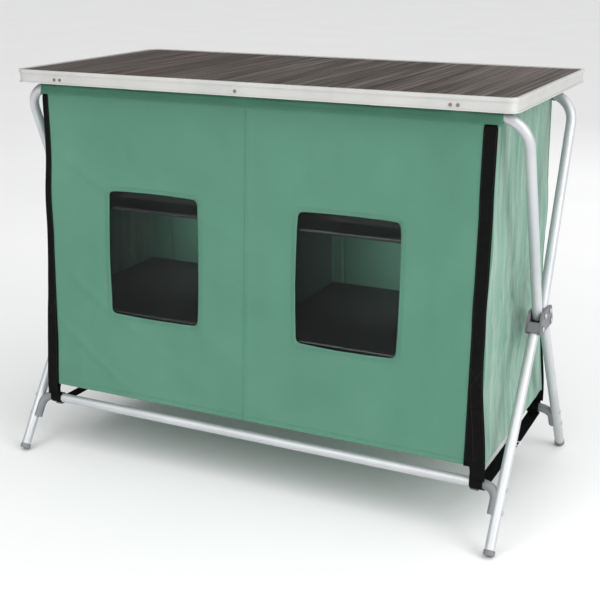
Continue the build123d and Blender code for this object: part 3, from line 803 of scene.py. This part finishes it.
def corner_strap(side_name, end_name):
    """The webbing down a corner, and the loop strap sewn over its lower part."""
    side, end = SIDES[side_name], ENDS[end_name]
    seed = 21 + side + 2 * end
    turned = side < 0 and end < 0      # this strap is half turned round the corner
    path, over = [], []
    for z in spread(BOTTOM_Z - 0.001, SEAM_Z + 0.001, 0.006):
        width = through(NARROW, z) if turned else STRAP
        outer = edge_x(end, z) if turned else min(edge_x(end, z), STRAP_EDGE)
        x = end * (outer - width / 2)
        out = WALL_OUT + 0.0009 + 0.0004 * wave(z / 0.05, 0.0, seed)
        out += max(wall_swell(side, x + step, z) for step in (-width / 2, 0, width / 2))
        if end > 0 and side < 0 and z < 0.16:
            out += 0.0006
        across = Vector((-side * width / STRAP, 0, 0.03 * wave(z / 0.11, 0.5, seed)))
        path.append((on_wall(side, x, z, out), across, wall_normal(side)))
    for z in spread(STRETCHER_Z + 0.010, OVER_TOP, 0.006):
        share = smooth((OVER_TOP - z) / 0.20)
        width = STRAP
        x = end * (0.4545 + 0.0150 * share)
        if turned:
            width = through(NARROW, z)
            x = end * (edge_x(end, z) + 0.0015 * share - width / 2)
        out = WALL_OUT + 0.0025 - 0.0012 * smooth((BOTTOM_Z - z) / 0.03)
        out += max(wall_swell(side, x + step, max(z, BOTTOM_Z)) for step in (-width / 2, 0, 0.01))
        out += 0.0004 * wave(z / 0.07, 0.0, seed + 3) - 0.0012 * smooth((z - 0.305) / 0.03)
        across = Vector((-side * width / STRAP, 0, 0))
        over.append((on_wall(side, x, z, out), across, wall_normal(side)))
    path.reverse()
    over.reverse()
    for i, share in enumerate((0.86, 0.97)):
        point, across, normal = path[i]
        path[i] = (point, across * share, normal)
    piece = made_of(f"{side_name}_webbing_{end_name}",
                    [strip(path, STRAP, 0.0014), strip(over, STRAP, 0.0013)])
    finish_piece(piece, WEBBING, f"{side_name}_wall", "black_webbing",
                 f"{side_name}_strap_{end_name}")
    for share in (-0.40, 0.40):
        for run in (path[2:-2], over[1:-6]):
            black_runs[side].append([(p + a * STRAP * share + n * 0.0007, n) for p, a, n in run])
    box = [over[2], over[7]]
    for (p, a, n), (q, b, m) in (box, box[::-1]):
        black_runs[side].append([(p + a * STRAP * 0.38 + n * 0.0009, n),
                                 (q - b * STRAP * 0.38 + m * 0.0009, m)])


for side_name in SIDES:
    for end_name in ENDS:
        corner_strap(side_name, end_name)


# ---- end walls ----
END_TOP = 0.7735
NARROWS_Z = 0.750          # above this the end walls draw in between the bars
HUB_Z = 0.37
DIVIDER_TOP = 0.7525


def end_depth(z):
    """Half of an end wall's width at a height."""
    low = half_depth(min(z, NARROWS_Z)) - 0.0015
    return low + (BAR_Y - 0.015 - low) * smooth((z - NARROWS_Z) / 0.012)


def end_wall(end_name):
    """An end wall: thin cloth pulled into upright folds, with slanting ones near the hub."""
    end = ENDS[end_name]
    low = BOTTOM_Z + 0.003
    seed = 31 if end > 0 else 37

    def place(u, z):
        y = u * end_depth(z)
        inside = min(smooth((1 - abs(u)) / 0.16), smooth((z - low) / 0.04 + 0.3))
        folds = 0.0042 * (ridge(y / 0.060, z / 0.70, seed) - 0.42)
        folds += 0.0022 * wave(y / 0.026, z / 0.36, seed + 1)
        folds += 0.0013 * wave(y / 0.0105, z / 0.13, seed + 2)
        near_hub = bell(z - HUB_Z, 0.12)
        slant = 0.0034 * near_hub * ridge((y - 0.9 * (z - HUB_Z)) / 0.06, z / 0.4, seed + 3)
        slant += 0.0030 * near_hub * ridge((y + 0.9 * (z - HUB_Z)) / 0.07, z / 0.5, seed + 5)
        corner = bell(z - 0.752, 0.055) * bell(abs(y) - 0.165, 0.055)
        gather = 0.0034 * corner * wave(y / 0.009 + z / 0.02, z / 0.03, seed + 4)
        gather += 0.0016 * bell(z - END_TOP, 0.05) * wave(y / 0.012, z / 0.05, seed + 6)
        x = edge_x(end, z) - 0.0004 + inside * (folds + slant)
        x += gather * smooth((1 - abs(u)) / 0.05 + 0.2)
        return Vector((end * x, MID_Y + y, z))

    us = [i / 80 for i in range(-80, 81)]
    vs = spread(low, END_TOP, 0.0055)
    piece = made_of(f"end_cloth_{end_name}", [grid(us, vs, place, flip=end < 0)], 0.0008)
    # the end walls take the paler copy of the green cloth, with painted sheen and light
    finish_piece(piece, PAINTED_SHEEN_GREEN, "front_wall", "green_fabric", f"side_wall_{end_name}")
    folds_flat(piece)


def folds_flat(piece):
    """Gives the piece its own copy of its mesh. A point on the front wall is worked out and not
    used.
    """
    tuple(on_wall(-1, 0, 0.45, WALL_IN))
    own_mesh(piece)


for end_name in ENDS:
    end_wall(end_name)


# ---- inside the cupboard ----
def shelf_edges(z):
    return half_depth(z) - 0.014, half_depth(z) - 0.004


def shelves(level):
    """Two cloth-covered shelf boards that sag a little."""
    z = SHELVES_Z[level]
    front, back = shelf_edges(z)
    parts = []
    for end in (-1, 1):
        reach = edge_x(end, z) - 0.004

        def place(u, v):
            x, y = end * (0.0018 + u * (reach - 0.0018)), -front + v * (front + back)
            sag = 0.0030 * sin(pi * u) * sin(pi * v) + 0.0006 * wave(x / 0.05, y / 0.07, 51)
            return Vector((x, MID_Y + y, z - sag - 0.0002))

        us, vs = [i / 40 for i in range(41)], [i / 36 for i in range(37)]
        parts.append(grid(us, vs, place, flip=end < 0))
    piece = made_of(f"{level}_shelf_boards", parts, 0.0026)
    finish_piece(piece, LINING, "front_wall", "green_fabric", f"{level}_shelves")
    size = (edge_x(1, z) + edge_x(-1, z) - 0.012, front + back)
    folds_flat(piece)


for level in SHELVES_Z:
    shelves(level)


def middle_wall():
    """The upright cloth between the two cupboards, with soft pleats."""
    def place(u, z):
        y = u * (end_depth(z) - 0.002)
        still = min(1.0, min(abs(z - level) for level in SHELVES_Z.values()) / 0.03)
        pleats = 0.0016 * still * wave(y / 0.045, z / 0.4, 61)
        x = 0.0009 + pleats * smooth((1 - abs(u)) / 0.1)
        return Vector((x, MID_Y + y, z))

    us = [i / 60 for i in range(-60, 61)]
    vs = spread(BOTTOM_Z + 0.005, DIVIDER_TOP, 0.012)
    piece = made_of("middle_cloth", [grid(us, vs, place)], 0.0018)
    # the middle wall takes the darker copy of the green cloth: painted shade
    finish_piece(piece, PAINTED_SHADE_GREEN, "front_wall", "green_fabric", "divider")
    folds_flat(piece)


def floor_board():
    """The cupboard's floor, covered in the same cloth, with a soft hem all round."""
    low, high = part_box("cupboard_floor")
    half = (high.y - low.y) / 2

    def place(u, v):
        x, y = u * edge_x(1 if u > 0 else -1, BOTTOM_Z) * 0.990, v * half
        sag = 0.0012 * (1 - u ** 4) * (1 - v * v) + 0.0005 * wave(x / 0.06, y / 0.05, 71)
        roll = 0.0008 * (bell(1 - abs(u), 0.02) + bell(1 - abs(v), 0.04))
        return Vector((x, MID_Y + y, high.z - sag - roll))

    us, vs = [i / 70 for i in range(-70, 71)], [i / 24 for i in range(-24, 25)]
    piece = made_of("floor_cloth", [grid(us, vs, place)], 0.0028)
    finish_piece(piece, GREEN, "front_wall", "green_fabric", "cupboard_floor")
    folds_flat(piece)


middle_wall()
floor_board()


# ---- back wall with its doors ----
def back_cloth():
    """The back wall, in one piece round its two door openings."""
    middle_z = 0.44

    def place(u, z):
        x = stretched_x(u, z, DOOR_X[1] + 0.001, middle_z)
        return on_wall(1, x, z, WALL_OUT + wall_swell(1, x, z))

    edges = [s * d for s in (-1, 1) for d in DOOR_X]
    us = spread(-edge_x(-1, middle_z), edge_x(1, middle_z), 0.008, *edges)
    vs = spread(BOTTOM_Z, SEAM_Z + 0.007, 0.008, *DOOR_Z)

    def hole(u, z):
        return DOOR_X[0] < abs(u) < DOOR_X[1] and DOOR_Z[0] < z < DOOR_Z[1]

    piece = made_of("back_cloth", [grid(us, vs, place, flip=True, hole=hole)], CLOTH)
    finish_piece(piece, GREEN, "back_wall", "green_fabric", "back_panel")


def door(end_name):
    """A cloth door: sewn along its top, loose folds across it, a bound lower edge."""
    end = ENDS[end_name]
    low, high = DOOR_X[0] + 0.001, DOOR_X[1] - 0.001

    def place(u, z):
        x = end * u
        inside = smooth((u - low) / 0.04) * smooth((high - u) / 0.04)
        inside = inside * smooth((DOOR_Z[1] - z) / 0.05) * smooth((z - DOOR_Z[0]) / 0.04 + 0.3)
        out = WALL_OUT + inside * (
            0.0026 * (wave(x / 0.10, z / 0.5, 41) + 0.45) + 0.0013 * wave(x / 0.035, z / 0.16, 42)
            + 0.0010 * ridge((x + z) / 0.14, (x - z) / 0.3, 43) ** 4
        )
        out += 0.0008 * bell(z - DOOR_Z[0] - 0.012, 0.004)
        return on_wall(1, x, z, out)

    us = spread(low, high, 0.007)
    vs = spread(DOOR_Z[0] + 0.001, DOOR_Z[1] - 0.001, 0.007,
                DOOR_Z[0] + 0.010, DOOR_Z[0] + 0.014)
    piece = made_of(f"door_cloth_{end_name}", [grid(us, vs, place, flip=end > 0)], CLOTH)
    finish_piece(piece, GREEN, f"door_{end_name}", "green_fabric", f"door_{end_name}")
    green_runs[1].append([stitch(1, end * u, DOOR_Z[1] + 0.004, 0.0003)
                          for u in spread(low, high, 0.01)])


TOOTH_PITCH = 0.0028


def zips():
    """The tapes beside the doors, with their coil of teeth down the middle."""
    parts, teeth = [], []
    outer, inner = DOOR_X[1] + 0.006, DOOR_X[0] - 0.006
    across, up = Vector((-1, 0, 0)), wall_up(1)
    for x in (-outer, -inner, inner, outer):
        path = []
        for z in spread(DOOR_Z[0] + 0.004, DOOR_Z[1] - 0.002, 0.008):
            out = WALL_OUT + 0.0006 + wall_swell(1, x, z)
            path.append((on_wall(1, x, z, out), across, wall_normal(1)))
        parts.append(strip(path, 0.0118, 0.0007))
        count = int((path[-1][0] - path[0][0]).length / TOOTH_PITCH)
        for i in range(count):
            share = i / count * (len(path) - 1)
            k = int(share)
            point = path[k][0].lerp(path[k + 1][0], share - k)
            shift = Vector((0.0008 if i % 2 else -0.0008, 0, 0))
            teeth.append(chip(point + shift + wall_normal(1) * 0.0008,
                              (0.0031, 0.0009, 0.0017), (across, wall_normal(1), up)))
        for edge in (-0.0046, 0.0046):
            black_runs[1].append([(p + across * edge + n * 0.0005, n) for p, a, n in path])
    tape = made_of("zip_tapes", parts)
    finish_piece(tape, WEBBING, "back_wall", "black_webbing", "door_zips")
    row = made_of("zip_teeth", teeth, smoothed=False)
    finish_piece(row, DARK_NYLON, "back_wall", "black_webbing")


def zip_slider(name):
    """A zip slider: body, bridge and a pull tab with a hole."""
    x = middle(f"zip_slider_{name}", 0)
    up, out = wall_up(1), wall_normal(1)
    axes = (Vector((1, 0, 0)), out, up)
    z = DOOR_Z[0] + 0.006 + 0.011
    base = on_wall(1, x, z, WALL_OUT + 0.0011)
    parts = [
        chip(base + out * 0.0004, (0.0088, 0.0010, 0.0120), axes, 0.4),
        chip(base + out * 0.0024, (0.0078, 0.0009, 0.0110), axes, 0.4),
        chip(base + out * 0.0012 + up * 0.0040, (0.0020, 0.0030, 0.0036), axes, 0.3),
        chip(base + out * 0.0036, (0.0020, 0.0020, 0.0080), axes, 0.3),
    ]
    tab = base + out * 0.0050 - up * 0.0085
    for side_x in (-1, 1):
        parts.append(chip(tab + Vector((side_x * 0.0017, 0, 0)), (0.0016, 0.0011, 0.0190), axes))
    for place_z, long in ((0.0088, 0.0022), (-0.0085, 0.0030), (0.0015, 0.0110)):
        parts.append(chip(tab + up * place_z, (0.0045, 0.0012, long), axes))
    piece = made_of(f"slider_{name}", parts, smoothed=False)
    finish_piece(piece, STEEL, f"zip_slider_{name}", "steel", f"zip_slider_{name}")


back_cloth()
for end_name in ENDS:
    door(end_name)
zips()
for name in ("left_outer", "left_inner", "right_inner", "right_outer"):
    zip_slider(name)


# ---- webbing on the stretchers ----
LOOP = TUBE + 0.0011
TAIL_TOP = 0.132           # how far up behind the wall the loops' tails reach
LOOP_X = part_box("front_strap_loops")[1].x - STRAP / 2
BOTTOM_STRAP_X = middle("bottom_strap_right", 0)
BOTTOM_STRAP_Z = middle("bottom_strap_right", 2)


def at_stretcher(side, x, out, up):
    """A point beside a stretcher's axis, by its distances out from the wall and up along it."""
    axis = Vector((x, MID_Y + side * STRETCHER_Y, STRETCHER_Z))
    return axis + wall_normal(side) * out + wall_up(side) * up


def loops(side_name):
    """The corner straps' ends: down over the stretcher, round it, and up behind the wall."""
    side = SIDES[side_name]
    parts = []
    for end in (-1, 1):
        x = end * LOOP_X
        points = [(LOOP + 0.0002, 0.020), (LOOP + 0.0001, 0.012), (LOOP, 0.006)]
        for i in range(0, 23):
            angle = radians(8 - 15 * i)
            reach = LOOP + 0.0001 * (i % 2)
            points.append((reach * cos(angle), reach * sin(angle)))
        points += [(0.0092, 0.0125), (0.0091, 0.020)]
        points += [(0.0091 + 0.0003 * sin(z / 0.012), z) for z in spread(0.028, TAIL_TOP, 0.008)]
        path = []
        for i, (out, up) in enumerate(points):
            before, after = points[max(0, i - 1)], points[min(len(points) - 1, i + 1)]
            dx, dz = after[0] - before[0], after[1] - before[1]
            reach = sqrt(dx * dx + dz * dz)
            n = at_stretcher(side, 0, -dz / reach, dx / reach) - at_stretcher(side, 0, 0, 0)
            lean = -end * 0.012 * smooth((up - 0.020) / 0.050) * (1 if i > 22 else 0)
            path.append((at_stretcher(side, x + lean, out, up), Vector((1, 0, 0)), n))
        parts.append(strip(path, STRAP * 0.985, 0.0012))
    piece = made_of(f"{side_name}_loops", parts)
    tidy_normals(piece)
    finish_piece(piece, WEBBING, f"{side_name}_webbing", "black_webbing",
                 f"{side_name}_strap_loops")


def tidy_normals(piece):
    """Turns every face of closed parts outward."""
    work = bmesh.new()
    work.from_mesh(piece.data)
    bmesh.ops.recalc_face_normals(work, faces=work.faces)
    work.to_mesh(piece.data)
    work.free()


def bottom_webbing(end_name):
    """The strap under the stretchers, doubled from its ladder buckle to its sewn end."""
    low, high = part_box(f"bottom_strap_{end_name}")
    x = (low.x + high.x) / 2
    under = []
    for y in spread(low.y - 0.006, high.y + 0.006, 0.008):
        share = (y - low.y) / (high.y - low.y)
        z = BOTTOM_STRAP_Z - 0.0035 * sin(pi * max(0.0, min(1.0, share)))
        z += 0.0004 * wave(y / 0.05, 0, 81)
        tilt = 0.05 * wave(y / 0.13, 0.2, 82)
        under.append((Vector((x, y, z)), Vector((1, 0, tilt)), Vector((0, 0, 1))))
    doubled = [k for k in under if MID_Y + 0.036 < k[0].y < MID_Y + 0.130]
    tail = [(p + Vector((0.0006, 0, 0.0016 if i else 0.0012)), a, n)
            for i, (p, a, n) in enumerate(doubled)]
    piece = made_of(f"bottom_webbing_{end_name}",
                    [strip(under, 0.0245, 0.0014), strip(tail, 0.0245, 0.0013)])
    tidy_normals(piece)
    finish_piece(piece, WEBBING, "front_webbing", "black_webbing", f"bottom_strap_{end_name}")
    crumples_forward(piece)


def crumples_forward(piece):
    """Gives the piece its own copy of its mesh."""
    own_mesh(piece)


def ladder_buckles():
    """Two ladder buckles: side rails with four rungs, the strap woven between them."""
    low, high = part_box("strap_buckles")
    y, z = (low.y + high.y) / 2, BOTTOM_STRAP_Z - 0.0032
    parts = []
    for end in (-1, 1):
        x = end * BOTTOM_STRAP_X
        for rail in (-0.0138, 0.0138):
            at = Vector((x + rail, y, z + 0.0004))
            parts.append(chip(at, (0.0026, 0.0216, 0.0044), None, 0.3))
        for rung, lift in ((-0.0094, 0.0006), (-0.0030, -0.0012), (0.0036, 0.0026),
                           (0.0094, -0.0004)):
            at = Vector((x, y + rung, z + lift))
            parts.append(chip(at, (0.0270, 0.0028, 0.0026), None, 0.3))
    piece = made_of("ladder_buckles", parts, smoothed=False)
    tidy_normals(piece)
    finish_piece(piece, PALE, "front_webbing", "buckle_plastic", "strap_buckles")
    crumples_forward(piece)


for side_name in SIDES:
    loops(side_name)
for end_name in ENDS:
    bottom_webbing(end_name)
ladder_buckles()

for side_name, side in SIDES.items():
    for kind, runs, thread, slot in (("seam", green_runs, THREAD_GREEN, "green_fabric"),
                                     ("strap", black_runs, THREAD_BLACK, "black_webbing")):
        piece = stitching(f"{side_name}_{kind}_threads", runs[side])
        tidy_normals(piece)
        finish_piece(piece, thread, f"{side_name}_wall", slot)


# ---- stage, light and camera ----
FLOOR_REACH = 40
BRIGHT_SIDE = (0.62, -0.52, 0.59)      # towards the brightest part of the sky
floor_mesh = bpy.data.meshes.new("floor")
corners = [(x * FLOOR_REACH, y * FLOOR_REACH, 0) for x, y in ((-1, -1), (1, -1), (1, 1), (-1, 1))]
floor_mesh.from_pydata(corners, [], [(0, 1, 2, 3)])
stage_floor = bpy.data.objects.new("floor", floor_mesh)
bpy.context.collection.objects.link(stage_floor)
floor_look = Look("pale_floor", 0.9)
floor_look.colour(floor_look.ramp(floor_look.noise(floor_look.place, 1.5, 2.0),
                                  (0.3, (0.83, 0.83, 0.83)), (0.7, (0.85, 0.85, 0.85))))
paint(stage_floor, floor_look.material)

world = bpy.data.worlds.new("studio")
world.use_nodes = True
sky, wires = world.node_tree.nodes, world.node_tree.links
direction = sky.new("ShaderNodeTexCoord")
facing = sky.new("ShaderNodeVectorMath")
facing.operation = "DOT_PRODUCT"
facing.inputs[1].default_value = BRIGHT_SIDE
wires.new(direction.outputs["Generated"], facing.inputs[0])
shade = sky.new("ShaderNodeValToRGB")
dim, bright = shade.color_ramp.elements
dim.position, dim.color = 0.0, (0.10, 0.105, 0.11, 1)
bright.position, bright.color = 0.75, (1, 1, 1, 1)
wires.new(facing.outputs["Value"], shade.inputs["Fac"])
wires.new(shade.outputs["Color"], sky["Background"].inputs["Color"])
sky["Background"].inputs["Strength"].default_value = 0.80
backdrop = sky.new("ShaderNodeBackground")
backdrop.inputs["Color"].default_value = (0.93, 0.93, 0.93, 1)
seen_by = sky.new("ShaderNodeLightPath")
either = sky.new("ShaderNodeMixShader")
wires.new(seen_by.outputs["Is Camera Ray"], either.inputs["Fac"])
wires.new(sky["Background"].outputs["Background"], either.inputs[1])
wires.new(backdrop.outputs["Background"], either.inputs[2])
wires.new(either.outputs["Shader"], sky["World Output"].inputs["Surface"])
bpy.context.scene.world = world


def area_light(name, place, target, size, power, spread_degrees=180):
    data = bpy.data.lights.new(name, "AREA")
    data.spread = radians(spread_degrees)
    data.shape, data.size, data.energy = "SQUARE", size, power
    light = bpy.data.objects.new(name, data)
    light.location = place
    light.rotation_euler = (Vector(target) - Vector(place)).to_track_quat("-Z", "Y").to_euler()
    light.visible_camera = False
    bpy.context.collection.objects.link(light)


area_light("right_softbox", (3.2, -0.9, 2.0), (0, 0, 0.4), 2.2, 60)
area_light("front_softbox", (-1.0, -3.6, 2.4), (0, 0, 0.4), 2.4, 44)
area_light("back_softbox", (0.8, 3.4, 2.2), (0, 0, 0.4), 2.4, 16)
overcast = bpy.data.lights.new("overhead", "SUN")
overcast.energy, overcast.angle = 1.42, radians(110)
overhead = bpy.data.objects.new("overhead", overcast)
overhead.rotation_euler = (radians(8), 0, 0)
bpy.context.collection.objects.link(overhead)
for x in (-0.23, 0.23):
    area_light("inside_middle", (x, MID_Y - 0.10, 0.505), (x, MID_Y + 0.17, 0.45), 0.26, 1.05, 80)
    area_light("inside_upper", (x, MID_Y - 0.08, 0.67), (x, MID_Y + 0.17, 0.62), 0.10, 0.35, 80)

camera_data = bpy.data.cameras.new("camera")
camera_data.sensor_width = 36
camera_data.lens = 67.74
camera_data.shift_x, camera_data.shift_y = 0.0, 0.0
camera_data.clip_end = 200
camera = bpy.data.objects.new("camera", camera_data)
camera.location = (0.9813, -2.0019, 1.0377)
camera.rotation_euler = Euler((radians(72.409), 0.0, radians(25.846)), "XYZ")
bpy.context.collection.objects.link(camera)
bpy.context.scene.camera = camera
bpy.context.scene.view_settings.view_transform = "Standard"
